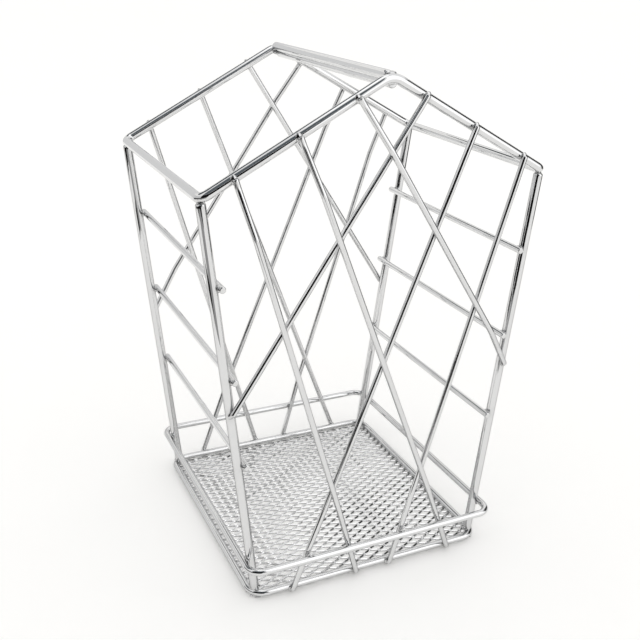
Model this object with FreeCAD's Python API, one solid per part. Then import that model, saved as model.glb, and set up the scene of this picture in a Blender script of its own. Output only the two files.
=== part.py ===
import FreeCAD, Part
import math
import os

# Utensil holder of welded and plated wire, shaped like a small house without a roof skin.
# Millimetres, +X to the right, +Y to the back, +Z up. The underside of the floor is at height
# zero and the vertical axis runs through the middle.

# Wire gauges, and the flats that stand in for the round of a wire
FRAME_WIRE = 3.2
RING_WIRE = 2.5
RUNG_WIRE = 2.3
STRUT_WIRE = 2.0
WIRE_FLATS = 16

# How the wires sit together
WELD_SINK = 0.15
CROSSING_GAP = 0.1

# Rim: two level side bars joined at front and back by a gable
RIM_HALF_WIDTH = 61.0
RIM_HALF_DEPTH = 45.4
EAVES_HEIGHT = 145.6
GABLE_RISE = 33.1
EAVES_BEND = 3.0
APEX_BEND = 7.0

# Ridge: two bars stacked between the gable tops
RIDGE_END_SETBACK = 0.6

# Floor sheet of expanded metal, drawn with wider diamonds than the real one
FLOOR_SHEET = 0.9
FLOOR_OVERHANG = 0.5
FLOOR_BORDER = 2.4
DIAMOND_LONG_PITCH = 10.8
DIAMOND_SHORT_PITCH = 6.0
DIAMOND_STRAND = 1.2

# Base ring on top of the floor sheet
BASE_HALF_WIDTH = 47.0
BASE_HALF_DEPTH = 49.3
BASE_BEND = 6.0

# Guard ring round the outside of posts and struts, a little above the base ring
GUARD_LIFT = 13.3
GUARD_BEND = 5.0

# Corner posts lean outwards from the base ring to the rim
POST_HEAD_SIDE_INSET = 0.2
POST_HEAD_END_INSET = 1.3
POST_FOOT_ANGLE = 38.0
POST_FOOT_INSET = 1.1

# Struts of one panel: three welds on each half of the gable, two on each half of the base ring
STRUT_TOP_LOW = 51.2
STRUT_TOP_MIDDLE = 30.9
STRUT_TOP_HIGH = 11.8
STRUT_FOOT_NEAR = 6.8
STRUT_FOOT_FAR = 32.4
STRUT_POST_HEIGHT = 74.4
STRUT_TOP_OVERRUN = 0.6
STRUT_FOOT_OVERRUN = 0.4
STRUT_BEND = 12.0
STEP_START = 3.0
STEP_LENGTH = 7.0
LONG_RETURN_HEIGHT = 30.0
SHORT_RETURN_LIFT = 16.0

# Side rungs
RUNG_TOP_HEIGHT = 117.4
RUNG_PITCH = 31.8
RUNG_OVERRUN = 2.4
RUNG_NAMES = ("upper", "middle", "lower")

# Radii and heights that follow from the sizes above
FRAME_RADIUS = FRAME_WIRE / 2
RING_RADIUS = RING_WIRE / 2
RUNG_RADIUS = RUNG_WIRE / 2
STRUT_RADIUS = STRUT_WIRE / 2
BASE_HEIGHT = FLOOR_SHEET + RING_RADIUS - WELD_SINK
GUARD_HEIGHT = BASE_HEIGHT + GUARD_LIFT
GABLE_WELD_DEPTH = RIM_HALF_DEPTH + FRAME_RADIUS + STRUT_RADIUS - WELD_SINK
BASE_WELD_DEPTH = BASE_HALF_DEPTH + RING_RADIUS + STRUT_RADIUS - WELD_SINK
POST_WELD_OFFSET = FRAME_RADIUS + STRUT_RADIUS - WELD_SINK
LAYER_STEP = STRUT_WIRE + CROSSING_GAP
STRUT_FOOT_HEIGHT = BASE_HEIGHT - STRUT_FOOT_OVERRUN
UP = FreeCAD.Vector(0, 0, 1)
ORIGIN = FreeCAD.Vector(0, 0, 0)


def point(x, y, z):
    """A place in space."""
    return FreeCAD.Vector(x, y, z)


def between(start, end, share):
    """The place a given share of the way from start to end."""
    return start + (end - start) * share


def at_height(start, end, height):
    """The place at a height on the line from start to end."""
    return between(start, end, (height - start.z) / (end.z - start.z))


def bend(before, corner, after, radius):
    """Where the bend at a corner starts, its middle and where it ends."""
    arriving = (corner - before).normalize()
    leaving = (after - corner).normalize()
    half_angle = arriving.getAngle(leaving) / 2
    setback = radius * math.tan(half_angle)
    inward = (leaving - arriving).normalize()
    middle = corner + inward * (radius / math.cos(half_angle) - radius)
    return corner - arriving * setback, middle, corner + leaving * setback


def bent_path(places, radii):
    """Straights from the first place to the last, with a bend at each place between them."""
    edges = []
    here = places[0]
    for index, radius in enumerate(radii, start=1):
        first, middle, last = bend(places[index - 1], places[index], places[index + 1], radius)
        edges.append(Part.makeLine(here, first))
        edges.append(Part.Arc(first, middle, last).toShape())
        here = last
    edges.append(Part.makeLine(here, places[-1]))
    return Part.Wire(edges)


def closed_places(corners):
    """The corners of a closed run, which starts and ends half way along a straight."""
    seam = between(corners[-1], corners[0], 0.5)
    return [seam] + corners + [seam]


def wire_section(start, along, gauge):
    """The section of a wire where it starts: a regular polygon with its corners on the round."""
    turn = FreeCAD.Rotation(UP, along)
    corners = []
    for flat in range(WIRE_FLATS):
        angle = 2 * math.pi * flat / WIRE_FLATS
        corner = point(math.cos(angle), math.sin(angle), 0) * (gauge / 2)
        corners.append(start + turn.multVec(corner))
    return Part.Face(Part.makePolygon(corners + corners[:1]))


def drawn_wire(places, radii, gauge):
    """Wire bent along the places, with a bend of the given radius at each place between the ends."""
    section = wire_section(places[0], places[1] - places[0], gauge)
    return bent_path(places, radii).makePipe(section)


def straight_wire(start, end, gauge):
    """Wire cut to length."""
    return drawn_wire([start, end], [], gauge)


def seated(wire, seats):
    """The wire hollowed where it is welded against its seats."""
    for seat in seats:
        wire = wire.cut(seat)
    return max(wire.Solids, key=lambda solid: solid.Volume)


def half_turned(piece):
    """The same piece on the opposite side of the holder."""
    turned = piece.copy()
    turned.rotate(ORIGIN, UP, 180)
    return turned


def level_corners(half_width, half_depth, height):
    """Corners of a level rectangle, front left first."""
    front = [point(-half_width, -half_depth, height), point(half_width, -half_depth, height)]
    back = [point(half_width, half_depth, height), point(-half_width, half_depth, height)]
    return front + back


def level_ring(half_width, half_depth, height, bend_radius):
    """A rectangular ring of ring wire with four round corners."""
    corners = level_corners(half_width, half_depth, height)
    return drawn_wire(closed_places(corners), [bend_radius] * len(corners), RING_WIRE)


def rim_frame():
    """The rim, one wire bent into two side bars and two gables."""
    eaves = level_corners(RIM_HALF_WIDTH, RIM_HALF_DEPTH, EAVES_HEIGHT)
    front_apex = point(0, -RIM_HALF_DEPTH, EAVES_HEIGHT + GABLE_RISE)
    back_apex = point(0, RIM_HALF_DEPTH, EAVES_HEIGHT + GABLE_RISE)
    corners = [eaves[0], front_apex, eaves[1], eaves[2], back_apex, eaves[3]]
    radii = [EAVES_BEND, APEX_BEND, EAVES_BEND] * 2
    return drawn_wire(closed_places(corners), radii, FRAME_WIRE)


def apex_height():
    """Height of the rim's centre line at the top of the gable bend."""
    slope = math.atan2(GABLE_RISE, RIM_HALF_WIDTH)
    return EAVES_HEIGHT + GABLE_RISE - APEX_BEND * (1 / math.cos(slope) - 1)


def ridge_bar(lift):
    """A ridge bar at a lift above the middle of the gable bend."""
    reach = RIM_HALF_DEPTH - RIDGE_END_SETBACK
    height = apex_height() + lift
    return straight_wire(point(0, -reach, height), point(0, reach, height), FRAME_WIRE)


def post_foot():
    """Where the centre line of the front right post meets the corner of the base ring."""
    angle = math.radians(POST_FOOT_ANGLE)
    reach = BASE_BEND - POST_FOOT_INSET
    x = BASE_HALF_WIDTH - BASE_BEND + reach * math.cos(angle)
    y = BASE_HALF_DEPTH - BASE_BEND + reach * math.sin(angle)
    return point(x, -y, BASE_HEIGHT)


def post_head():
    """Where the centre line of the front right post meets the corner of the rim."""
    x = RIM_HALF_WIDTH - POST_HEAD_SIDE_INSET
    y = RIM_HALF_DEPTH - POST_HEAD_END_INSET
    return point(x, -y, EAVES_HEIGHT)


def post_at(height):
    """The place at a height on the centre line of the front right post."""
    return at_height(post_foot(), post_head(), height)


def corner_post(side, end):
    """A post; side is 1 on the right and -1 on the left, end is 1 in front and -1 at the back."""
    foot = post_foot()
    head = post_head()
    start = point(foot.x * side, foot.y * end, foot.z)
    return straight_wire(start, point(head.x * side, head.y * end, head.z), FRAME_WIRE)


def strut_top(x):
    """Upper end of a strut, on the outer face of the front gable."""
    height = EAVES_HEIGHT + GABLE_RISE * (1 - abs(x) / RIM_HALF_WIDTH)
    return point(x, -GABLE_WELD_DEPTH, height + STRUT_TOP_OVERRUN)


def strut_foot(x):
    """Lower end of a long strut, on the outer face of the base ring."""
    return point(x, -BASE_WELD_DEPTH, STRUT_FOOT_HEIGHT)


def strut_on_post(side):
    """Lower end of a short strut, on the front face of a post."""
    place = post_at(STRUT_POST_HEIGHT)
    return point(place.x * side, place.y - POST_WELD_OFFSET, place.z)


def outer_layer(place):
    """A place moved out to where a strut passes clear over the struts of the inner layer."""
    outermost = at_height(strut_top(STRUT_TOP_MIDDLE), strut_foot(0), place.z)
    return point(place.x, outermost.y - LAYER_STEP, place.z)


def inner_strut(start, end):
    """A strut of the inner layer, straight from weld to weld."""
    return straight_wire(start, end, STRUT_WIRE)


def outer_strut_places(start, end, return_height):
    """A strut of the outer layer: a step out below the gable and a slow return to its lower weld."""
    length = (end - start).Length
    step_from = between(start, end, STEP_START / length)
    step_to = outer_layer(between(start, end, (STEP_START + STEP_LENGTH) / length))
    step_back = outer_layer(at_height(start, end, return_height))
    return [start, step_from, step_to, step_back, end]


def outer_strut(places):
    """Bent wire of a strut of the outer layer."""
    return drawn_wire(places, [STRUT_BEND] * (len(places) - 2), STRUT_WIRE)


def long_strut_places(top, foot):
    """Places of an outer strut that runs down to the base ring."""
    return outer_strut_places(strut_top(top), strut_foot(foot), LONG_RETURN_HEIGHT)


def guard_ring():
    """The guard ring, pressed against the posts at the sides and the outer struts at front and back."""
    half_width = post_at(GUARD_HEIGHT).x + FRAME_RADIUS + RING_RADIUS - WELD_SINK
    places = long_strut_places(-STRUT_TOP_LOW, -STRUT_FOOT_NEAR)
    strut_depth = abs(at_height(places[-2], places[-1], GUARD_HEIGHT).y)
    half_depth = strut_depth + STRUT_RADIUS + RING_RADIUS - WELD_SINK
    return level_ring(half_width, half_depth, GUARD_HEIGHT, GUARD_BEND)


def side_rung(side, height):
    """A rung on the inner faces of the two posts of one side."""
    place = post_at(height)
    x = side * (place.x - FRAME_RADIUS - RUNG_RADIUS + WELD_SINK)
    reach = abs(place.y) + RUNG_OVERRUN
    return straight_wire(point(x, -reach, height), point(x, reach, height), RUNG_WIRE)


def floor_mesh():
    """The floor sheet with its staggered diamond openings."""
    half_width = BASE_HALF_WIDTH + FLOOR_OVERHANG
    half_depth = BASE_HALF_DEPTH + FLOOR_OVERHANG
    corners = level_corners(half_width, half_depth, 0)
    wires = [bent_path(closed_places(corners), [BASE_BEND] * len(corners))]
    half_short = (DIAMOND_SHORT_PITCH - DIAMOND_STRAND) / 2
    half_long = half_short * DIAMOND_LONG_PITCH / DIAMOND_SHORT_PITCH
    columns = math.ceil(half_width / DIAMOND_LONG_PITCH)
    rows = math.ceil(half_depth / DIAMOND_SHORT_PITCH)
    for stagger in (0, 0.5):
        for column in range(-columns, columns + 1):
            for row in range(-rows, rows + 1):
                x = (column + stagger) * DIAMOND_LONG_PITCH
                y = (row + stagger) * DIAMOND_SHORT_PITCH
                if abs(x) + half_long > half_width - FLOOR_BORDER:
                    continue
                if abs(y) + half_short > half_depth - FLOOR_BORDER:
                    continue
                left = point(x - half_long, y, 0)
                right = point(x + half_long, y, 0)
                near = point(x, y - half_short, 0)
                far = point(x, y + half_short, 0)
                wires.append(Part.makePolygon([left, near, right, far, left]))
    sheet = Part.makeFace(wires, "Part::FaceMakerBullseye")
    return sheet.extrude(UP * FLOOR_SHEET)


def floor_level():
    """The space below the top of the floor sheet, which flattens the underside of the base ring."""
    corners = level_corners(2 * BASE_HALF_WIDTH, 2 * BASE_HALF_DEPTH, 0)
    return Part.Face(Part.makePolygon(corners + corners[:1])).extrude(UP * FLOOR_SHEET)


def front_struts(rim, base, guard, left_post, right_post):
    """The six struts of the front panel, from left to right along the gable."""
    over_base = [rim, base, guard]
    short_return = STRUT_POST_HEIGHT + SHORT_RETURN_LIFT
    short_places = outer_strut_places(strut_top(-STRUT_TOP_HIGH), strut_on_post(1), short_return)
    return [
        seated(outer_strut(long_strut_places(-STRUT_TOP_LOW, -STRUT_FOOT_NEAR)), over_base),
        seated(outer_strut(long_strut_places(-STRUT_TOP_MIDDLE, STRUT_FOOT_FAR)), over_base),
        seated(outer_strut(short_places), [rim, right_post]),
        seated(inner_strut(strut_top(STRUT_TOP_HIGH), strut_on_post(-1)), [rim, left_post]),
        seated(inner_strut(strut_top(STRUT_TOP_MIDDLE), strut_foot(-STRUT_FOOT_FAR)), over_base),
        seated(inner_strut(strut_top(STRUT_TOP_LOW), strut_foot(STRUT_FOOT_NEAR)), over_base),
    ]


def holder():
    """All pieces of the holder by name."""
    rim = rim_frame()
    base = seated(level_ring(BASE_HALF_WIDTH, BASE_HALF_DEPTH, BASE_HEIGHT, BASE_BEND), [floor_level()])
    pieces = {"rim_frame": rim, "base_ring": base, "floor_mesh": floor_mesh()}
    ridge_lift = (FRAME_WIRE - WELD_SINK) / 2
    upper_ridge = ridge_bar(ridge_lift)
    pieces["ridge_upper_bar"] = seated(upper_ridge, [rim])
    pieces["ridge_lower_bar"] = seated(ridge_bar(-ridge_lift), [rim, upper_ridge])
    posts = {}
    for side, side_name in ((-1, "left"), (1, "right")):
        for end, end_name in ((1, "front"), (-1, "back")):
            posts[end_name, side_name] = seated(corner_post(side, end), [rim, base])
            pieces["corner_post_%s_%s" % (end_name, side_name)] = posts[end_name, side_name]
        side_posts = [posts["front", side_name], posts["back", side_name]]
        for index, rung_name in enumerate(RUNG_NAMES):
            rung = side_rung(side, RUNG_TOP_HEIGHT - index * RUNG_PITCH)
            pieces["%s_rung_%s" % (side_name, rung_name)] = seated(rung, side_posts)
    guard = seated(guard_ring(), posts.values())
    pieces["guard_ring"] = guard
    struts = front_struts(rim, base, guard, posts["front", "left"], posts["front", "right"])
    for number, strut in enumerate(struts, start=1):
        pieces["front_strut_%d" % number] = strut
        pieces["back_strut_%d" % number] = half_turned(strut)
    return pieces


def main():
    """Write each piece to its own file."""
    os.makedirs("parts", exist_ok=True)
    for name, piece in sorted(holder().items()):
        piece.exportStep("parts/%s.step" % name)


main()
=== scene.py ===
import logging
import math
from dataclasses import dataclass, field
from enum import Enum
from typing import ClassVar

import bpy
import numpy as np
from mathutils import Matrix


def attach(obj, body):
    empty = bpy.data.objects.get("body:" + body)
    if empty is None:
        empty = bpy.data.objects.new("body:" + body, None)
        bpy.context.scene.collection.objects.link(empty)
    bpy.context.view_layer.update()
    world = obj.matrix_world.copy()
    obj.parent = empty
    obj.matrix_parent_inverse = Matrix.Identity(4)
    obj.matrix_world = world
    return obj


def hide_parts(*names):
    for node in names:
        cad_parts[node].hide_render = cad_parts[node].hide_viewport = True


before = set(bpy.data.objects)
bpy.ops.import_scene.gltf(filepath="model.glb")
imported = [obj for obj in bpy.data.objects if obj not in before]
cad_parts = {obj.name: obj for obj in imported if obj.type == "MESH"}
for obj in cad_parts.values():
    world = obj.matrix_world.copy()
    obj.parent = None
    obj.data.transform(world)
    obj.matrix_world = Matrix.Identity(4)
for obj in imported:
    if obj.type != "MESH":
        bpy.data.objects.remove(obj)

# Looks of a welded and plated wire utensil holder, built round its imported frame.
# The holder's sizes are in millimetres and become metres where a mesh is made. Those of the cards
# and the floor are in metres. +X is to the right, +Y to the back and +Z up, as in the frame.

LOG = logging.getLogger("holder")
MM = 0.001
BODY = "root"
UP = np.array([0.0, 0.0, 1.0])
Array = np.ndarray
Range = tuple[float, float]
Colour = tuple[float, float, float]


class Gauge(Enum):
    """Thickness of each kind of wire, in millimetres."""

    FRAME = 3.2
    RING = 2.5
    RUNG = 2.3
    STRUT = 2.0

    @property
    def radius(self) -> float:
        """Half the thickness."""
        return self.value / 2


class Slot(Enum):
    """Material slots of the record."""

    FRAME = "plated_frame"
    RING = "plated_ring"
    STRUT = "plated_strut"
    MESH = "plated_mesh"


class Choice(Enum):
    """A choice whose name is a word in the names of pieces."""

    @property
    def word(self) -> str:
        """The name in lower case."""
        return self.name.lower()


class Side(Choice):
    """Left and right of the holder, as the sign of X."""

    LEFT = -1
    RIGHT = 1


class End(Choice):
    """Front and back of the holder, as the sign of Y."""

    FRONT = -1
    BACK = 1


class Bar(Choice):
    """The two bars of the ridge, as the sign of their height."""

    UPPER = 1
    LOWER = -1


class Level(Choice):
    """The rungs of a side, as the number of pitches below the top one."""

    UPPER = 0
    MIDDLE = 1
    LOWER = 2


CORNERS = [(side, end) for side in Side for end in End]
RUNGS = [(side, level) for side in Side for level in Level]


def unit(vectors: Array) -> Array:
    """Vectors along the last axis scaled to length one."""
    return vectors / np.linalg.norm(vectors, axis=-1, keepdims=True)


def place(x: float, y: float, z: float) -> Array:
    """A place or direction in the frame."""
    return np.array([x, y, z], float)


def at_height(start: Array, end: Array, height: float) -> Array:
    """The place at a height on the line from start to end."""
    return start + (end - start) * (height - start[2]) / (end[2] - start[2])


def level_corners(half_width: float, half_depth: float, height: float) -> list[Array]:
    """Corners of a level rectangle, front left first and on to the front right."""
    signs = ((-1, -1), (1, -1), (1, 1), (-1, 1))
    return [place(x * half_width, y * half_depth, height) for x, y in signs]


@dataclass(frozen=True)
class Weld:
    """A weld between two wires.

    Attributes:
        centre: Where the wires touch.
        along: Direction of the thinner wire.
        across: Direction from one wire to the other.
        radius: Radius of the thinner wire.
    """

    centre: Array
    along: Array
    across: Array
    radius: float


@dataclass(frozen=True)
class Layout:
    """Sizes that several assemblies share, to the wires' centre lines.

    The gable's rise goes up to where its straight runs would meet. A post's head lies inside the
    rim's corner by two insets. Its foot lies inside the base ring's corner bend by another one, in
    the direction of the foot's angle in degrees.
    """

    weld_sink: float = 0.15
    rim_half_width: float = 61.0
    rim_half_depth: float = 45.4
    eaves_height: float = 145.6
    gable_rise: float = 33.1
    floor_room: float = 0.9
    floor_overhang: float = 0.5
    base_half_width: float = 47.0
    base_half_depth: float = 49.3
    base_bend: float = 6.0
    guard_lift: float = 13.3
    post_head_side_inset: float = 0.2
    post_head_end_inset: float = 1.3
    post_foot_angle: float = 38.0
    post_foot_inset: float = 1.1

    @property
    def base_height(self) -> float:
        """Height of the base ring."""
        return self.floor_room + Gauge.RING.radius - self.weld_sink

    @property
    def guard_height(self) -> float:
        """Height of the guard ring."""
        return self.base_height + self.guard_lift

    def seat(self, one: Gauge, other: Gauge) -> float:
        """Distance between the centre lines of two wires that are welded side by side."""
        return one.radius + other.radius - self.weld_sink

    def weld(self, spot: Array, along: Array, thin: Gauge, across: Array) -> Weld:
        """The weld at a spot of the thinner wire, where it is seated on the other one across."""
        centre = spot + across * (thin.radius - self.weld_sink / 2)
        return Weld(centre, unit(along), across, thin.radius)

    def gable_height(self, x: float) -> float:
        """Height of the gable's straight run above a place on the width."""
        return self.eaves_height + self.gable_rise * (1 - abs(x) / self.rim_half_width)

    def post_foot(self, side: Side, end: End) -> Array:
        """Where a post meets the corner bend of the base ring.

        Args:
            side: Left or right.
            end: Front or back.

        Returns:
            The place of the foot.
        """
        angle = math.radians(self.post_foot_angle)
        reach = self.base_bend - self.post_foot_inset
        x = self.base_half_width - self.base_bend + reach * math.cos(angle)
        y = self.base_half_depth - self.base_bend + reach * math.sin(angle)
        return place(side.value * x, end.value * y, self.base_height)

    def post_head(self, side: Side, end: End) -> Array:
        """Where a post meets the corner of the rim.

        Args:
            side: Left or right.
            end: Front or back.

        Returns:
            The place of the head.
        """
        x = self.rim_half_width - self.post_head_side_inset
        y = self.rim_half_depth - self.post_head_end_inset
        return place(side.value * x, end.value * y, self.eaves_height)

    def post_at(self, side: Side, end: End, height: float) -> Array:
        """The place at a height on a post."""
        return at_height(self.post_foot(side, end), self.post_head(side, end), height)


def arc(before: Array, corner: Array, after: Array, radius: float) -> Array:
    """Points of the bend that rounds a corner.

    The bend is the circle of the given radius that touches both legs. Its centre lies on the
    bisector, and each point is the centre plus the radius turned evenly from one leg to the other.

    Args:
        before: Place before the corner.
        corner: The corner itself.
        after: Place after the corner.
        radius: Radius of the bend's centre line.

    Returns:
        The points in order, one row each.
    """
    step, fewest = 0.09, 5
    arriving, leaving = unit(corner - before), unit(after - corner)
    turn = math.acos(float(np.clip(arriving @ leaving, -1, 1)))
    centre = corner + unit(leaving - arriving) * radius / math.cos(turn / 2)
    first = unit(corner - arriving * radius * math.tan(turn / 2) - centre)
    angles = np.linspace(0, turn, max(int(turn / step), fewest))[:, None]
    return centre + radius * (first * np.cos(angles) + arriving * np.sin(angles))


def bent_path(corners: list[Array], radii: list[float], closed: bool) -> Array:
    """Centre line of a wire: straights with even points and a round bend at each corner.

    Args:
        corners: Places the wire is bent at, and for an open wire its two ends as well.
        radii: Radius of each bend.
        closed: True for a ring, where every place is a bend.

    Returns:
        Points along the centre line, one row each.
    """
    spacing, fewest = 1.4, 2
    count = len(corners)
    bends = range(count) if closed else range(1, count - 1)
    arcs = []
    for index, radius in zip(bends, radii):
        arcs.append(arc(corners[index - 1], corners[index], corners[(index + 1) % count], radius))
    if closed:
        arcs.append(arcs[0][:1])
    else:
        arcs = [corners[0][None]] + arcs + [corners[-1][None]]
    parts = []
    for here, following in zip(arcs[:-1], arcs[1:]):
        straight = following[0] - here[-1]
        pieces = max(int(np.linalg.norm(straight) / spacing), fewest)
        parts += [here, here[-1] + straight * np.linspace(0, 1, pieces + 1)[1:-1, None]]
    if not closed:
        parts.append(arcs[-1])
    return np.concatenate(parts)


@dataclass
class Surface:
    """A mesh in millimetres before it becomes an object.

    Attributes:
        points: Places of the vertices, one row each.
        faces: Corner numbers of each four-sided face, one row each.
        chart: Coordinates along and around the surface for each vertex, in millimetres.
        caps: Rings of vertices that are closed with one flat face each.
        smooth: True for a rounded surface, false for one with sharp edges.
    """

    points: Array
    faces: Array
    chart: Array
    caps: list[Array] = field(default_factory=list)
    smooth: bool = True


def grid_faces(rows: int, columns: int, closed_rows: bool, closed_columns: bool) -> Array:
    """Four-sided faces of a grid of vertices numbered row by row.

    Args:
        rows: Rows of vertices.
        columns: Vertices in each row.
        closed_rows: True if the last row joins the first.
        closed_columns: True if each row is a ring.

    Returns:
        Corner numbers, one face in each row.
    """
    i = np.arange(rows if closed_rows else rows - 1)[:, None]
    j = np.arange(columns if closed_columns else columns - 1)[None, :]
    below, above = i * columns, ((i + 1) % rows) * columns
    following = (j + 1) % columns
    corners = [below + j, below + following, above + following, above + j]
    return np.stack(np.broadcast_arrays(*corners), -1).reshape(-1, 4)


def tube(path: Array, radius: float, closed: bool) -> Surface:
    """A round wire carried along a centre line, with its cut ends rounded over.

    Each point is the centre line plus the radius times a unit vector that turns round the tangent.
    At a free end the radius falls as the cosine of an angle while the place moves by its sine.

    Args:
        path: Centre line, one point in each row.
        radius: Radius of the wire.
        closed: True for a ring.

    Returns:
        The surface of the wire.
    """
    around, rounding, end_angles = 28, 0.45, (68, 50, 32, 14, 0)
    radii = np.full(len(path), radius)
    if closed:
        tangent = unit(np.roll(path, -1, 0) - np.roll(path, 1, 0))
    else:
        dome = rounding * radius
        angles = np.radians(end_angles)
        first, last = unit(path[1] - path[0]), unit(path[-2] - path[-1])
        inset = dome * (1 - np.sin(angles))[:, None]
        ends = path[0] + first * inset, (path[-1] + last * inset)[::-1]
        path = np.concatenate([ends[0], path[1:-1], ends[1]])
        shrink = radius - dome + dome * np.cos(angles)
        radii = np.concatenate([shrink, radii[1:-1], shrink[::-1]])
        tangent = unit(np.gradient(path, axis=0))
    reference = np.eye(3)[np.abs(tangent).max(0).argmin()]
    side = unit(np.cross(reference, tangent))
    raised = np.cross(tangent, side)
    angle = np.linspace(0, 2 * np.pi, around, endpoint=False)[None, :, None]
    outward = np.cos(angle) * side[:, None] + np.sin(angle) * raised[:, None]
    points = path[:, None] + radii[:, None, None] * outward
    length = np.concatenate([[0], np.cumsum(np.linalg.norm(np.diff(path, axis=0), axis=1))])
    along = np.broadcast_to(length[:, None], points.shape[:2])
    about = np.broadcast_to(angle[..., 0] * radius, points.shape[:2])
    chart = np.stack([along, about], -1).reshape(-1, 2)
    ring, count = np.arange(around), len(path)
    caps = [] if closed else [ring[::-1], ring + (count - 1) * around]
    return Surface(points.reshape(-1, 3), grid_faces(count, around, closed, True), chart, caps)


def new_material(name: str) -> bpy.types.Material:
    """Add a material with nodes.

    Args:
        name: Name of the material.

    Returns:
        The new material.
    """
    material = bpy.data.materials.new(name)
    material.use_nodes = True
    return material


def add_node(
    tree: bpy.types.NodeTree, kind: str, sockets: dict[str, object], **settings: object
) -> bpy.types.Node:
    """Add a node to a material.

    Args:
        tree: The material's nodes.
        kind: Type of the node.
        sockets: Values of its inputs.
        settings: Values of the node itself.

    Returns:
        The new node.
    """
    node = tree.nodes.new(kind)
    for name, value in settings.items():
        setattr(node, name, value)
    for name, value in sockets.items():
        node.inputs[name].default_value = value
    return node


def add_object(name: str, data: bpy.types.ID) -> bpy.types.Object:
    """Add an object to the scene.

    Args:
        name: Name of the object.
        data: Its mesh or camera.

    Returns:
        The new object.
    """
    item = bpy.data.objects.new(name, data)
    bpy.context.scene.collection.objects.link(item)
    return item


@dataclass(frozen=True)
class PlatedFinish:
    """Bright plating over steel, with faint patches and fine lines along the wire.

    The haze and the weld roughness are those beside a weld, and the edge is the share of the
    brightness left where the wire turns away. The patches' scale counts them in a metre, and their
    spread is the least and the greatest share of the roughness. The lines' scale counts them along
    and round the wire in a metre, and their depth is in millimetres.
    """

    name: str
    slot: Slot
    colour: Colour = (0.72, 0.722, 0.725)
    haze: Colour = (0.6, 0.6, 0.6)
    roughness: float = 0.045
    weld_roughness: float = 0.12
    edge: float = 1.0
    patch_scale: float = 160.0
    patch_detail: float = 3.0
    patch_range: Range = (0.3, 0.75)
    patch_spread: Range = (0.75, 1.3)
    line_scale: Range = (60.0, 6000.0)
    line_detail: float = 2.0
    line_strength: float = 0.12
    line_depth: float = 0.004

    def material(self) -> bpy.types.Material:
        """The finish as a material, made once.

        Returns:
            A material whose colour and roughness follow the attribute named weld.
        """
        known = bpy.data.materials.get(self.name)
        if known:
            return known
        material = new_material(self.name)
        tree = material.node_tree
        link = tree.links.new
        shader = tree.nodes["Principled BSDF"]
        shader.inputs["Metallic"].default_value = 1.0
        shader.inputs["Specular Tint"].default_value = (self.edge, self.edge, self.edge, 1)
        weld = add_node(tree, "ShaderNodeAttribute", {}, attribute_name="weld")

        tones = {"A": (*self.colour, 1), "B": (*self.haze, 1)}
        tint = add_node(tree, "ShaderNodeMix", tones, data_type="RGBA")
        link(weld.outputs["Fac"], tint.inputs["Factor"])
        link(tint.outputs["Result"], shader.inputs["Base Color"])

        coordinates = add_node(tree, "ShaderNodeTexCoord", {})
        pattern = {"Scale": self.patch_scale, "Detail": self.patch_detail}
        patches = add_node(tree, "ShaderNodeTexNoise", pattern)
        limits = {
            "From Min": self.patch_range[0],
            "From Max": self.patch_range[1],
            "To Min": self.roughness * self.patch_spread[0],
            "To Max": self.roughness * self.patch_spread[1],
        }
        blur = add_node(tree, "ShaderNodeMapRange", limits)
        worn = add_node(tree, "ShaderNodeMix", {"B": self.weld_roughness})
        link(coordinates.outputs["Object"], patches.inputs["Vector"])
        link(patches.outputs["Fac"], blur.inputs["Value"])
        link(weld.outputs["Fac"], worn.inputs["Factor"])
        link(blur.outputs["Result"], worn.inputs["A"])
        link(worn.outputs["Result"], shader.inputs["Roughness"])

        chart = add_node(tree, "ShaderNodeUVMap", {}, uv_map="chart")
        stretch = add_node(tree, "ShaderNodeMapping", {"Scale": (*self.line_scale, 1.0)})
        lines = add_node(tree, "ShaderNodeTexNoise", {"Scale": 1.0, "Detail": self.line_detail})
        depth = {"Strength": self.line_strength, "Distance": self.line_depth * MM}
        relief = add_node(tree, "ShaderNodeBump", depth)
        link(chart.outputs["UV"], stretch.inputs["Vector"])
        link(stretch.outputs["Vector"], lines.inputs["Vector"])
        link(lines.outputs["Fac"], relief.inputs["Height"])
        link(relief.outputs["Normal"], shader.inputs["Normal"])
        return material


def make_piece(
    name: str, surface: Surface, finish: PlatedFinish, near_weld: Array
) -> bpy.types.Object:
    """Turn a surface into an object that rides on the holder.

    Args:
        name: Name of the piece.
        surface: Its mesh in millimetres.
        finish: Its finish.
        near_weld: For each vertex, one at a weld and zero far from any.

    Returns:
        The new object.
    """
    mesh = bpy.data.meshes.new(name)
    faces = surface.faces.tolist() + [cap.tolist() for cap in surface.caps]
    mesh.from_pydata((surface.points * MM).tolist(), [], faces)
    smooth = np.full(len(faces), surface.smooth)
    smooth[len(surface.faces):] = False
    mesh.polygons.foreach_set("use_smooth", smooth)
    corners = np.zeros(len(mesh.loops), np.int32)
    mesh.loops.foreach_get("vertex_index", corners)
    layer = mesh.uv_layers.new(name="chart")
    layer.data.foreach_set("uv", (surface.chart[corners] * MM).astype(np.float32).ravel())
    attribute = mesh.attributes.new("weld", "FLOAT", "POINT")
    attribute.data.foreach_set("value", near_weld.astype(np.float32))
    mesh.materials.append(finish.material())
    mesh.update()
    piece = add_object(name, mesh)
    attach(piece, BODY)
    LOG.info("%s: %d vertices, %d faces", name, len(mesh.vertices), len(mesh.polygons))
    return piece


def weld_nearness(points: Array, welds: list[Weld]) -> Array:
    """How near each point is to a weld: a bell curve of the distance.

    Args:
        points: Places, one row each.
        welds: The welds.

    Returns:
        One number for each point, from zero to one.
    """
    reach = 2.0
    centres = np.array([weld.centre for weld in welds])
    distance = np.linalg.norm(points[:, None] - centres[None], axis=-1).min(1)
    return np.exp(-((distance / reach) ** 2))


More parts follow.
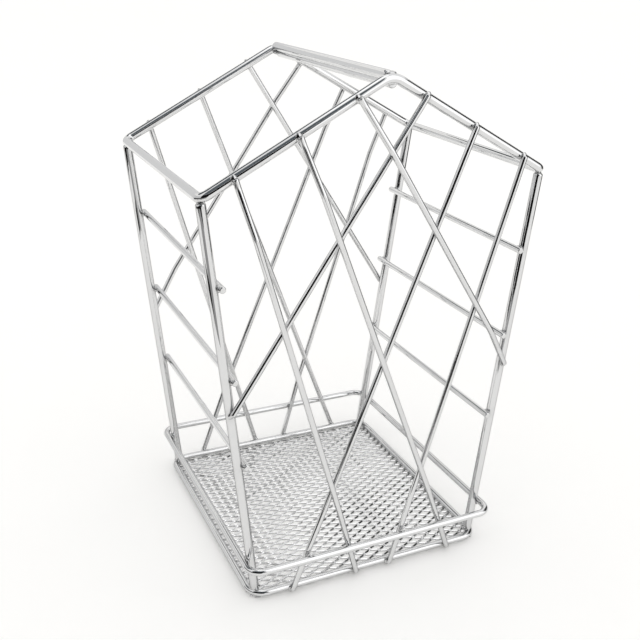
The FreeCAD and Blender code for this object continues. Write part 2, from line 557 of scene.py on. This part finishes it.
@dataclass
class WeldBeads:
    """Small cushions of metal that fill the corners where wires are welded.

    Length, breadth and height are half sizes, as shares of the thinner wire's radius. A cushion
    has rows of vertices with columns in each, up to the last ring's latitude in degrees.
    """

    welds: list[Weld]
    finish: PlatedFinish
    length: float = 1.7
    breadth: float = 1.15
    height: float = 0.62
    rows: int = 9
    columns: int = 16
    last_ring: float = 80.0

    def surface(self) -> Surface:
        """All cushions as one surface.

        Each cushion is an ellipsoid: the centre plus three half sizes times the cosine and sine of
        a longitude and a latitude, longest along the thinner wire and flattest between the wires.

        Returns:
            One surface that holds every cushion.
        """
        latitude = np.radians(np.linspace(-self.last_ring, self.last_ring, self.rows))[:, None]
        longitude = np.linspace(0, 2 * np.pi, self.columns, endpoint=False)[None, :]
        a = np.cos(latitude) * np.cos(longitude)
        b = np.cos(latitude) * np.sin(longitude)
        c = np.broadcast_to(np.sin(latitude), a.shape)
        centre = np.array([weld.centre for weld in self.welds])[:, None, None]
        across = np.array([weld.across for weld in self.welds])
        along = np.array([weld.along for weld in self.welds])
        along = unit(along - across * np.sum(along * across, -1, keepdims=True))
        beside = np.cross(across, along)
        radius = np.array([weld.radius for weld in self.welds])[:, None, None, None]
        shape = self.length * a[..., None] * along[:, None, None]
        shape = shape + self.breadth * b[..., None] * beside[:, None, None]
        shape = shape + self.height * c[..., None] * across[:, None, None]
        points = centre + radius * shape
        chart = np.broadcast_to(np.stack([a, b], -1), points.shape[:-1] + (2,))
        size = self.rows * self.columns
        starts = np.arange(len(self.welds))[:, None] * size
        faces = grid_faces(self.rows, self.columns, False, True)[None] + starts[..., None]
        ring = np.arange(self.columns)
        rings = np.stack([ring[::-1] + starts, ring + starts + size - self.columns], 1)
        caps = list(rings.reshape(-1, self.columns))
        return Surface(points.reshape(-1, 3), faces.reshape(-1, 4), chart.reshape(-1, 2), caps)

    def build(self) -> None:
        """Make the piece that holds all cushions."""
        surface = self.surface()
        make_piece("weld_beads", surface, self.finish, np.ones(len(surface.points)))


@dataclass
class Wire:
    """One wire of the holder.

    Attributes:
        node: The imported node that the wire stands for.
        places: Ends and bends of the centre line.
        gauge: Thickness.
        bends: Radius of each bend.
        closed: True for a ring.
    """

    node: str
    places: list[Array]
    gauge: Gauge
    bends: list[float] = field(default_factory=list)
    closed: bool = False

    def build(self, finish: PlatedFinish, welds: list[Weld]) -> None:
        """Make the wire's piece in place of its node.

        Args:
            finish: Its finish.
            welds: The holder's welds, which dull the plating close by.
        """
        path = bent_path(self.places, self.bends, self.closed)
        surface = tube(path, self.gauge.radius, self.closed)
        near_weld = weld_nearness(surface.points, welds)
        piece = make_piece(self.node + "_wire", surface, finish, near_weld)
        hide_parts(self.node)


@dataclass
class WireAssembly:
    """Wires of the holder that share a finish and the holder's layout."""

    layout: Layout
    finish: PlatedFinish

    def wires(self) -> list[Wire]:
        """The wires of the assembly."""
        raise NotImplementedError

    def welds(self) -> list[Weld]:
        """The welds that the assembly brings with it."""
        raise NotImplementedError

    def build(self, welds: list[Weld]) -> None:
        """Make a piece of each wire, dulled beside the holder's welds."""
        for wire in self.wires():
            wire.build(self.finish, welds)


@dataclass
class RimAssembly(WireAssembly):
    """The gabled rim and the two ridge bars between its tops.

    The setbacks are how far the bars and their welds lie inside the gables' centre lines. The pair
    of bars leans to the left by an angle in degrees and hangs lower than the gable tops by the
    drop. The welds' spread and size are shares of the wire's radius.
    """

    eaves_bend: float = 3.0
    apex_bend: float = 7.0
    ridge_setback: float = 0.6
    ridge_lean: float = 35.0
    ridge_drop: float = 0.3
    weld_setback: float = 1.4
    weld_spread: float = 0.9
    weld_size: float = 0.8

    def apex_height(self) -> float:
        """Height of the rim at the top of a gable's bend."""
        slope = self.layout.gable_rise / self.layout.rim_half_width
        return self.layout.gable_height(0) - self.apex_bend * (math.hypot(1, slope) - 1)

    def wires(self) -> list[Wire]:
        """The rim and the ridge bars.

        Returns:
            The rim first, then the upper and the lower bar.
        """
        layout = self.layout
        depth = layout.rim_half_depth
        eaves = level_corners(layout.rim_half_width, depth, layout.eaves_height)
        tops = [place(0, end.value * depth, layout.gable_height(0)) for end in End]
        corners = [eaves[0], tops[0], eaves[1], eaves[2], tops[1], eaves[3]]
        bends = [self.eaves_bend, self.apex_bend, self.eaves_bend] * 2
        wires = [Wire("rim_frame", corners, Gauge.FRAME, bends, True)]
        reach = depth - self.ridge_setback
        lean = math.radians(self.ridge_lean)
        for bar in Bar:
            lift = bar.value * layout.seat(Gauge.FRAME, Gauge.FRAME) / 2
            height = self.apex_height() + lift * math.cos(lean) - self.ridge_drop
            ends = [place(-lift * math.sin(lean), y, height) for y in (-reach, reach)]
            wires.append(Wire(f"ridge_{bar.word}_bar", ends, Gauge.FRAME))
        return wires

    def welds(self) -> list[Weld]:
        """Welds of the ridge bars against the gable bends.

        Returns:
            The lower and the upper weld at each end.
        """
        radius = Gauge.FRAME.radius
        reach = self.layout.rim_half_depth - self.weld_setback
        heights = [self.apex_height() + sign * radius * self.weld_spread for sign in (-1, 1)]
        spots = [place(0, end.value * reach, height) for end in End for height in heights]
        return [Weld(spot, place(1, 0, 0), UP, radius * self.weld_size) for spot in spots]


@dataclass
class PostAssembly(WireAssembly):
    """The four leaning corner posts, whose heads sink into the rim by the overlap.

    The lift and the drop are the distances of the welds from the foot and the head. The sizes of
    the welds are shares of the wire's radius.
    """

    head_overlap: float = 0.3
    foot_weld_lift: float = 1.6
    foot_weld_size: float = 0.8
    head_weld_drop: float = 0.2
    head_weld_size: float = 0.5

    def wires(self) -> list[Wire]:
        """The posts.

        Returns:
            One straight wire for each corner, from its foot to its head.
        """
        layout = self.layout
        under_rim = layout.eaves_height - Gauge.FRAME.radius + self.head_overlap
        wires = []
        for side, end in CORNERS:
            ends = [layout.post_foot(side, end), layout.post_at(side, end, under_rim)]
            wires.append(Wire(f"corner_post_{end.word}_{side.word}", ends, Gauge.FRAME))
        return wires

    def welds(self) -> list[Weld]:
        """Welds of the posts against the base ring below and the rim above.

        Returns:
            Two welds for each post.
        """
        radius = Gauge.FRAME.radius
        found = []
        for wire in self.wires():
            foot, head = wire.places
            along = unit(head - foot)
            low, high = foot + along * self.foot_weld_lift, head - along * self.head_weld_drop
            found.append(Weld(low, along, UP, radius * self.foot_weld_size))
            found.append(Weld(high, along, UP, radius * self.head_weld_size))
        return found


@dataclass
class RingAssembly(WireAssembly):
    """The base ring on the floor's sheet and the guard ring above it."""

    guard_half_depth: float
    guard_bend: float = 5.0

    def guard_half_width(self) -> float:
        """Half the guard ring's width, pressed against the posts."""
        post = self.layout.post_at(Side.RIGHT, End.FRONT, self.layout.guard_height)
        return post[0] + self.layout.seat(Gauge.FRAME, Gauge.RING)

    def wires(self) -> list[Wire]:
        """The two rings.

        Returns:
            The base ring and the guard ring.
        """
        layout = self.layout
        base = level_corners(layout.base_half_width, layout.base_half_depth, layout.base_height)
        guard = level_corners(self.guard_half_width(), self.guard_half_depth, layout.guard_height)
        return [
            Wire("base_ring", base, Gauge.RING, [layout.base_bend] * len(base), True),
            Wire("guard_ring", guard, Gauge.RING, [self.guard_bend] * len(guard), True),
        ]

    def welds(self) -> list[Weld]:
        """Welds of the guard ring against the posts.

        Returns:
            One weld for each post.
        """
        layout = self.layout
        found = []
        for side, end in CORNERS:
            post = layout.post_at(side, end, layout.guard_height)
            spot = place(side.value * self.guard_half_width(), post[1], post[2])
            inward = place(-side.value, 0, 0)
            found.append(layout.weld(spot, place(0, 1, 0), Gauge.RING, inward))
        return found


@dataclass
class StrutPanel(WireAssembly):
    """The six crossed struts of the front or the back panel.

    The tops are the distances of the upper ends from the middle of the gable, and the feet those of
    the lower ends on the base ring. Two struts end on the posts instead, at the post height. An
    outer strut steps out below its top, passes over the inner ones with a gap and starts to return
    at a height, or for a short strut at a lift above its end.
    """

    end: End
    top_low: float = 51.2
    top_middle: float = 30.9
    top_high: float = 11.8
    foot_near: float = 6.8
    foot_far: float = 32.4
    post_height: float = 74.4
    top_overrun: float = 0.6
    foot_overrun: float = 0.4
    bend: float = 12.0
    step_start: float = 3.0
    step_length: float = 16.0
    long_return_height: float = 30.0
    short_return_lift: float = 16.0
    crossing_gap: float = 0.1

    def top(self, x: float) -> Array:
        """Upper end of a strut on the outer face of the front gable."""
        depth = self.layout.rim_half_depth + self.layout.seat(Gauge.FRAME, Gauge.STRUT)
        return place(x, -depth, self.layout.gable_height(x) + self.top_overrun)

    def foot(self, x: float) -> Array:
        """Lower end of a long strut on the outer face of the base ring."""
        depth = self.layout.base_half_depth + self.layout.seat(Gauge.RING, Gauge.STRUT)
        return place(x, -depth, self.layout.base_height - self.foot_overrun)

    def end_on_post(self, side: Side) -> Array:
        """Lower end of a short strut on the front face of a post."""
        post = self.layout.post_at(side, End.FRONT, self.post_height)
        return post - place(0, self.layout.seat(Gauge.FRAME, Gauge.STRUT), 0)

    def outer_layer(self, spot: Array) -> Array:
        """A place moved out to where a strut passes clear over the inner struts."""
        inner = at_height(self.top(self.top_middle), self.foot(0), spot[2])
        return place(spot[0], inner[1] - Gauge.STRUT.value - self.crossing_gap, spot[2])

    def outer_places(self, start: Array, foot: Array, return_height: float) -> list[Array]:
        """Places of an outer strut: a step out below the gable and a slow return to its foot.

        Args:
            start: Upper end.
            foot: Lower end.
            return_height: Height at which the return starts.

        Returns:
            The two ends and the three bends between them.
        """
        direction = unit(foot - start)
        step_from = start + direction * self.step_start
        step_to = self.outer_layer(start + direction * (self.step_start + self.step_length))
        back_from = self.outer_layer(at_height(start, foot, return_height))
        return [start, step_from, step_to, back_from, foot]

    def front_places(self) -> list[list[Array]]:
        """Places of the six front struts.

        Returns:
            The places of each strut, from left to right along the gable.
        """
        long_return = self.long_return_height
        short_return = self.post_height + self.short_return_lift
        return [
            self.outer_places(self.top(-self.top_low), self.foot(-self.foot_near), long_return),
            self.outer_places(self.top(-self.top_middle), self.foot(self.foot_far), long_return),
            self.outer_places(self.top(-self.top_high), self.end_on_post(Side.RIGHT), short_return),
            [self.top(self.top_high), self.end_on_post(Side.LEFT)],
            [self.top(self.top_middle), self.foot(-self.foot_far)],
            [self.top(self.top_low), self.foot(self.foot_near)],
        ]

    def wires(self) -> list[Wire]:
        """The six struts. The back panel is the front one turned half round.

        Returns:
            The struts, numbered from one in the order of their places.
        """
        turn = place(-self.end.value, -self.end.value, 1)
        wires = []
        for number, places in enumerate(self.front_places(), start=1):
            spots = [spot * turn for spot in places]
            bends = [self.bend] * (len(places) - 2)
            wires.append(Wire(f"{self.end.word}_strut_{number}", spots, Gauge.STRUT, bends))
        return wires

    def welds(self) -> list[Weld]:
        """Welds of the struts on the gable, and on the base ring or the posts.

        Returns:
            The upper and the lower weld of each strut.
        """
        layout = self.layout
        inward = place(0, -self.end.value, 0)
        found = []
        for wire in self.wires():
            top, foot = wire.places[0], wire.places[-1]
            low = layout.base_height if foot[2] < layout.guard_height else foot[2]
            for end, height in ((top, layout.gable_height(top[0])), (foot, low)):
                spot = place(end[0], end[1], height)
                found.append(layout.weld(spot, foot - top, Gauge.STRUT, inward))
        return found

    def guard_depth(self) -> float:
        """Half depth of a guard ring that is pressed against the outer struts."""
        strut = at_height(*self.front_places()[0][-2:], self.layout.guard_height)
        return abs(strut[1]) + self.layout.seat(Gauge.STRUT, Gauge.RING)


@dataclass
class RungAssembly(WireAssembly):
    """The three rungs of each side, inside the posts and a little longer than their distance."""

    top_height: float = 117.4
    pitch: float = 31.8
    overrun: float = 2.4

    def rung(self, side: Side, level: Level) -> list[Array]:
        """The two ends of a rung.

        Args:
            side: Left or right.
            level: Which of the side's rungs.

        Returns:
            The front and the back end.
        """
        height = self.top_height - level.value * self.pitch
        post = self.layout.post_at(side, End.BACK, height)
        x = side.value * (abs(post[0]) - self.layout.seat(Gauge.FRAME, Gauge.RUNG))
        reach = post[1] + self.overrun
        return [place(x, -reach, height), place(x, reach, height)]

    def wires(self) -> list[Wire]:
        """The rungs.

        Returns:
            Six straight wires.
        """
        wires = []
        for side, level in RUNGS:
            node = f"{side.word}_rung_{level.word}"
            wires.append(Wire(node, self.rung(side, level), Gauge.RUNG))
        return wires

    def welds(self) -> list[Weld]:
        """Welds of each rung on its two posts.

        Returns:
            The front and the back weld of each rung.
        """
        found = []
        for side, level in RUNGS:
            x, _, height = self.rung(side, level)[0]
            outward = place(side.value, 0, 0)
            for end in End:
                spot = place(x, self.layout.post_at(side, end, height)[1], height)
                found.append(self.layout.weld(spot, place(0, 1, 0), Gauge.RUNG, outward))
        return found


@dataclass
class FloorMesh:
    """The floor of raised expanded metal under the base ring.

    The pitches are those of the diamonds along X and Y. A strand has a width, the thickness of the
    sheet and a tilt in degrees, and it overlaps the next one by the joint. The blunting raises a
    row's wave past the height where its peaks are cut off. The easing of the upper edges is a share
    of the thickness, and the steps count the stations along a diamond.
    """

    layout: Layout
    finish: PlatedFinish
    long_pitch: float = 6.45
    short_pitch: float = 3.57
    strand: float = 0.65
    sheet: float = 0.25
    tilt: float = 26.0
    joint: float = 0.05
    blunting: float = 1.3
    easing: float = 0.3
    steps: int = 12

    def reach(self, line: Array) -> Array:
        """Half length of the rows of strands inside the sheet's round corners.

        Args:
            line: Place of each row along Y.

        Returns:
            The half length of each row.
        """
        layout = self.layout
        corner = layout.base_bend
        middle_x = layout.base_half_width + layout.floor_overhang - corner
        middle_y = layout.base_half_depth + layout.floor_overhang - corner
        inset = np.clip(np.abs(line) - middle_y, 0, corner)
        return middle_x + np.sqrt(corner**2 - inset**2)

    def rows(self) -> tuple[Array, Array]:
        """Centre lines of the strands and the level direction across them.

        A row runs along X and swings to and fro along Y as a triangle wave with flattened peaks,
        one row against the next, so that its peaks meet the dips of the next row. It sinks at a
        peak and rises at a dip, so that the leaning edges which meet there are level.

        Returns:
            Places and directions by row, station and axis.
        """
        spacing, step = self.short_pitch / 2, self.long_pitch / self.steps
        half_width = self.layout.base_half_width + self.layout.floor_overhang
        half_depth = self.layout.base_half_depth + self.layout.floor_overhang
        last = int((half_depth - self.strand / 2) / spacing)
        row = np.arange(-last, last + 1)
        line = row * spacing
        reach = self.reach(line)[:, None]
        count = math.ceil(half_width / self.long_pitch) * self.steps
        x = np.clip(np.arange(-count, count + 1)[None] * step, -reach, reach)
        wave = np.arcsin(np.sin(2 * np.pi * x / self.long_pitch)) * 2 / np.pi
        wave = np.clip(wave * self.blunting, -1, 1) * np.where(row % 2 == 0, 1, -1)[:, None]
        lean = math.radians(self.tilt)
        swing = (spacing - self.strand * math.cos(lean) + self.joint) / 2
        rise = self.strand * math.sin(lean)
        y = line[:, None] + swing * wave
        z = rise + self.sheet / 2 - rise / 2 * wave
        slope = np.gradient(wave, axis=1) * swing / step
        across = unit(np.stack([-slope, np.ones_like(slope), np.zeros_like(slope)], -1))
        return np.stack([x, y, z], -1), across

    def surface(self) -> Surface:
        """All strands as one surface.

        Each strand is a flat strip carried along its row. It leans by the tilt, and its cut edges
        stand upright, with the upper ones eased. Stations past a row's ends are left out.

        Returns:
            The surface of the whole floor.
        """
        centre, across = self.rows()
        lean = math.radians(self.tilt)
        leaning = across * math.cos(lean) + UP * math.sin(lean)
        wide, thick, cut = self.strand / 2, self.sheet / 2, self.easing * self.sheet
        top = [(wide - cut, thick), (-wide + cut, thick), (-wide, thick - cut)]
        section = np.array(top + [(-wide, -thick), (wide, -thick), (wide, thick - cut)])
        points = centre[:, :, None] + section[:, 0, None] * leaning[:, :, None]
        points = points + section[:, 1, None] * UP
        rows, stations, corners = points.shape[:3]
        starts = np.arange(rows)[:, None] * stations * corners
        faces = grid_faces(stations, corners, False, True)[None] + starts[..., None]
        moving = np.diff(centre[..., 0], axis=1) > 0
        faces = faces.reshape(-1, 4)[np.repeat(moving.ravel(), corners)]
        ring = np.arange(corners) + starts
        first = ring + corners * moving.argmax(1)[:, None]
        last = ring + corners * (stations - 1 - moving[:, ::-1].argmax(1))[:, None]
        used, numbers = np.unique(faces, return_inverse=True)
        caps = list(np.searchsorted(used, np.concatenate([first[:, ::-1], last])))
        along = np.broadcast_to(centre[:, :, None, 0], points.shape[:3])
        about = np.broadcast_to(section.sum(1), along.shape)
        chart = np.stack([along, about], -1).reshape(-1, 2)[used]
        return Surface(points.reshape(-1, 3)[used], numbers.reshape(-1, 4), chart, caps, False)

    def build(self) -> None:
        """Make the floor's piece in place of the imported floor."""
        surface = self.surface()
        piece = make_piece("floor_strands", surface, self.finish, np.zeros(len(surface.points)))
        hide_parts("floor_mesh")


@dataclass(frozen=True)
class Card:
    """A glowing studio card that only the plating mirrors.

    Its azimuth is a range in degrees, from the front towards the right. A brightness of one is
    white, and the steps count the vertices along each side of its grid.
    """

    name: str
    azimuth: Range
    brightness: float
    colour: Colour = field(default=(1.0, 1.0, 1.0), kw_only=True)
    steps: ClassVar[int] = 24

    def points(self, azimuth: Array) -> Array:
        """The card's vertices in metres for a row of azimuths in radians."""
        raise NotImplementedError

    def material(self) -> bpy.types.Material:
        """The card's glowing face.

        Returns:
            A material that only gives light.
        """
        material = new_material(self.name)
        tree = material.node_tree
        tree.nodes.clear()
        face = {"Color": (*self.colour, 1), "Strength": self.brightness}
        glow = add_node(tree, "ShaderNodeEmission", face)
        output = add_node(tree, "ShaderNodeOutputMaterial", {})
        tree.links.new(glow.outputs["Emission"], output.inputs["Surface"])
        return material

    def build(self) -> None:
        """Make the card, seen in mirrors only."""
        azimuth = np.radians(np.linspace(*self.azimuth, self.steps))[None, :]
        points = self.points(azimuth).reshape(-1, 3)
        faces = grid_faces(self.steps, self.steps, False, False)
        mesh = bpy.data.meshes.new(self.name)
        mesh.from_pydata(points.tolist(), [], faces.tolist())
        mesh.materials.append(self.material())
        card = add_object(self.name, mesh)
        card.visible_camera = False
        card.visible_diffuse = False
        card.visible_shadow = False


@dataclass(frozen=True)
class DomeCard(Card):
    """A card on part of a sphere round the holder.

    Its elevation is a range in degrees above the level, its distance is the sphere's radius, and
    its middle is the height of the sphere's centre.
    """

    elevation: Range
    distance: float
    middle: float = 0.08

    def points(self, azimuth: Array) -> Array:
        """The centre plus the distance times the direction with an azimuth and an elevation.

        Args:
            azimuth: A row of azimuths in radians.

        Returns:
            The vertices in metres.
        """
        elevation = np.radians(np.linspace(*self.elevation, self.steps))[:, None]
        x = np.sin(azimuth) * np.cos(elevation)
        y = -np.cos(azimuth) * np.cos(elevation)
        z = np.broadcast_to(np.sin(elevation), x.shape)
        return np.stack([x, y, z], -1) * self.distance + UP * self.middle


@dataclass(frozen=True)
class FloorCard(Card):
    """A card that lies flat at a lift above the floor, between a near and a far distance."""

    near: float
    far: float
    lift: float = 0.0012

    def points(self, azimuth: Array) -> Array:
        """A sector of a ring: a radius times the level direction with an azimuth.

        Args:
            azimuth: A row of azimuths in radians.

        Returns:
            The vertices in metres.
        """
        radius = np.linspace(self.near, self.far, self.steps)[:, None]
        x, y = np.sin(azimuth) * radius, -np.cos(azimuth) * radius
        return np.stack([x, y, np.full(x.shape, self.lift)], -1)


COOL = (0.88, 1.0, 1.1)
# Name, azimuth, brightness and then elevation and distance, or the near and the far distance.
CARDS = (
    DomeCard("card_front_dark", (-66, -10), 0.008, (-1, 33), 0.40),
    DomeCard("card_front_right", (-10, 8), 0.008, (8, 33), 0.40),
    DomeCard("card_front_low", (-66, -14), 0.008, (-7.5, -1), 0.40),
    DomeCard("card_above_front", (-66, 6), 0.14, (34, 66), 0.45, colour=COOL),
    DomeCard("card_above_back", (172, 250), 0.10, (37, 66), 1.20, colour=COOL),
    DomeCard("card_right_dark", (70, 107), 0.03, (-9, 31), 0.45),
    DomeCard("card_right_far", (70, 110), 0.02, (26, 36), 1.00),
    DomeCard("card_right_bright", (14, 60), 1.5, (0, 66), 0.80),
    DomeCard("card_top_bright", (0, 360), 1.5, (76, 90), 0.80),
    DomeCard("card_back_grey", (125, 240), 0.8, (-4, 27), 1.20),
    DomeCard("card_left_grey", (-120, -70), 0.7, (-4, 24), 1.10),
    DomeCard("card_left_low", (-120, -66), 0.01, (-10.8, 4), 0.40),
    DomeCard("card_left_near", (-92, -54), 0.02, (-16.2, -12.0), 0.28),
    FloorCard("card_floor_left", (-66, -20), 0.35, 0.26, 0.6),
)


@dataclass(frozen=True)
class PaperFinish:
    """Pale matt paper, with a lift in brightness where it is seen straight or in a mirror."""

    colour: Colour = (0.985, 0.98, 0.967)
    roughness: float = 0.9
    gloss: float = 0.1
    lift: float = 0.045

    def material(self) -> bpy.types.Material:
        """The finish as a material.

        Returns:
            A matt material that gives a little light to the camera and to mirrors.
        """
        material = new_material("floor_paper")
        tree = material.node_tree
        link = tree.links.new
        shader = tree.nodes["Principled BSDF"]
        shader.inputs["Base Color"].default_value = (*self.colour, 1)
        shader.inputs["Roughness"].default_value = self.roughness
        shader.inputs["Specular IOR Level"].default_value = self.gloss
        shader.inputs["Emission Color"].default_value = (*self.colour, 1)
        rays = add_node(tree, "ShaderNodeLightPath", {})
        seen = add_node(tree, "ShaderNodeMath", {}, operation="MAXIMUM")
        lift = add_node(tree, "ShaderNodeMath", {}, operation="MULTIPLY")
        lift.inputs[1].default_value = self.lift
        link(rays.outputs["Is Camera Ray"], seen.inputs[0])
        link(rays.outputs["Is Glossy Ray"], seen.inputs[1])
        link(seen.outputs["Value"], lift.inputs[0])
        link(lift.outputs["Value"], shader.inputs["Emission Strength"])
        return material


@dataclass(frozen=True)
class Studio:
    """Camera, floor, backdrop, light and cards.

    The camera's azimuth, from the front to the right, its elevation and its roll are in degrees.
    Its distance, its aim and the aim's slide along the picture's width and height are in
    millimetres, and its focal length is in pixels. The floor is level up to its end, bends up
    behind it and is upright to the top of the wall.
    """

    azimuth: float = -25.621
    elevation: float = 22.533
    roll: float = 1.671
    distance: float = 335.563
    aim_height: float = 90.0
    slide: Range = (-0.207, -7.968)
    focal_pixels: float = 877.111
    picture_width: int = 640
    sensor_width: float = 36.0
    near_clip: float = 0.01
    floor_half: float = 6.0
    floor_end: float = 3.0
    floor_bend: float = 1.0
    wall_top: float = 4.0
    paper: PaperFinish = PaperFinish()
    cards: tuple[Card, ...] = CARDS

    def camera(self) -> None:
        """Place the camera at the photograph's viewpoint."""
        a, e, r = (math.radians(angle) for angle in (self.azimuth, self.elevation, self.roll))
        back = place(math.sin(a) * math.cos(e), -math.cos(a) * math.cos(e), math.sin(e))
        level = place(math.cos(a), math.sin(a), 0)
        raised = np.cross(back, level)
        right = math.cos(r) * level + math.sin(r) * raised
        up = -math.sin(r) * level + math.cos(r) * raised
        target = UP * self.aim_height + self.slide[0] * right + self.slide[1] * up
        position = (target + self.distance * back) * MM
        data = bpy.data.cameras.new("camera")
        data.sensor_width = self.sensor_width
        data.lens = self.focal_pixels * self.sensor_width / self.picture_width
        data.clip_start = self.near_clip
        axes = np.eye(4)
        axes[:3] = np.stack([right, up, back, position], 1)
        camera = add_object("camera", data)
        camera.matrix_world = Matrix(axes.tolist())
        bpy.context.scene.camera = camera

    def floor(self) -> None:
        """Make the pale floor: along Y level, then a quarter circle, then upright."""
        angle = np.radians(np.linspace(0, 90, 16))[1:]
        curve = self.floor_end + self.floor_bend * np.sin(angle)
        rise = self.floor_bend * (1 - np.cos(angle))
        x = np.array([-self.floor_half, self.floor_half])
        y = np.concatenate([[-self.floor_half, self.floor_end], curve, curve[-1:]])
        z = np.concatenate([[0, 0], rise, [self.wall_top]])
        points = np.stack(np.broadcast_arrays(x[None], y[:, None], z[:, None]), -1).reshape(-1, 3)
        mesh = bpy.data.meshes.new("floor")
        mesh.from_pydata(points.tolist(), [], grid_faces(len(y), 2, False, False).tolist())
        mesh.materials.append(self.paper.material())
        floor = add_object("floor", mesh)

    def light(self) -> None:
        """Light the scene with an even white surround."""
        world = bpy.data.worlds.new("surround")
        world.use_nodes = True
        background = world.node_tree.nodes["Background"]
        background.inputs["Color"].default_value = (1, 1, 1, 1)
        background.inputs["Strength"].default_value = 1.0
        bpy.context.scene.world = world

    def build(self) -> None:
        """Set up the whole studio."""
        bpy.context.scene.view_settings.view_transform = "Standard"
        self.camera()
        self.floor()
        self.light()
        for card in self.cards:
            card.build()


def main() -> None:
    """Build the holder and the studio."""
    logging.basicConfig(level=logging.INFO, format="%(message)s")
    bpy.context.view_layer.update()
    layout = Layout()
    strut_plating = PlatedFinish("strut_plating", Slot.STRUT, edge=0.28)
    ring_plating = PlatedFinish("ring_plating", Slot.RING, edge=0.5)
    front_panel = StrutPanel(layout, strut_plating, End.FRONT)
    assemblies = [
        RimAssembly(layout, PlatedFinish("rim_plating", Slot.FRAME)),
        PostAssembly(layout, PlatedFinish("post_plating", Slot.FRAME, edge=0.28)),
        RingAssembly(layout, ring_plating, front_panel.guard_depth()),
        front_panel,
        StrutPanel(layout, strut_plating, End.BACK),
        RungAssembly(layout, PlatedFinish("rung_plating", Slot.STRUT)),
    ]
    welds = [weld for assembly in assemblies for weld in assembly.welds()]
    for assembly in assemblies:
        assembly.build(welds)
    WeldBeads(welds, PlatedFinish("weld_plating", Slot.STRUT)).build()
    FloorMesh(layout, PlatedFinish("mesh_plating", Slot.MESH, roughness=0.09)).build()
    Studio().build()


if __name__ == "__main__":
    main()
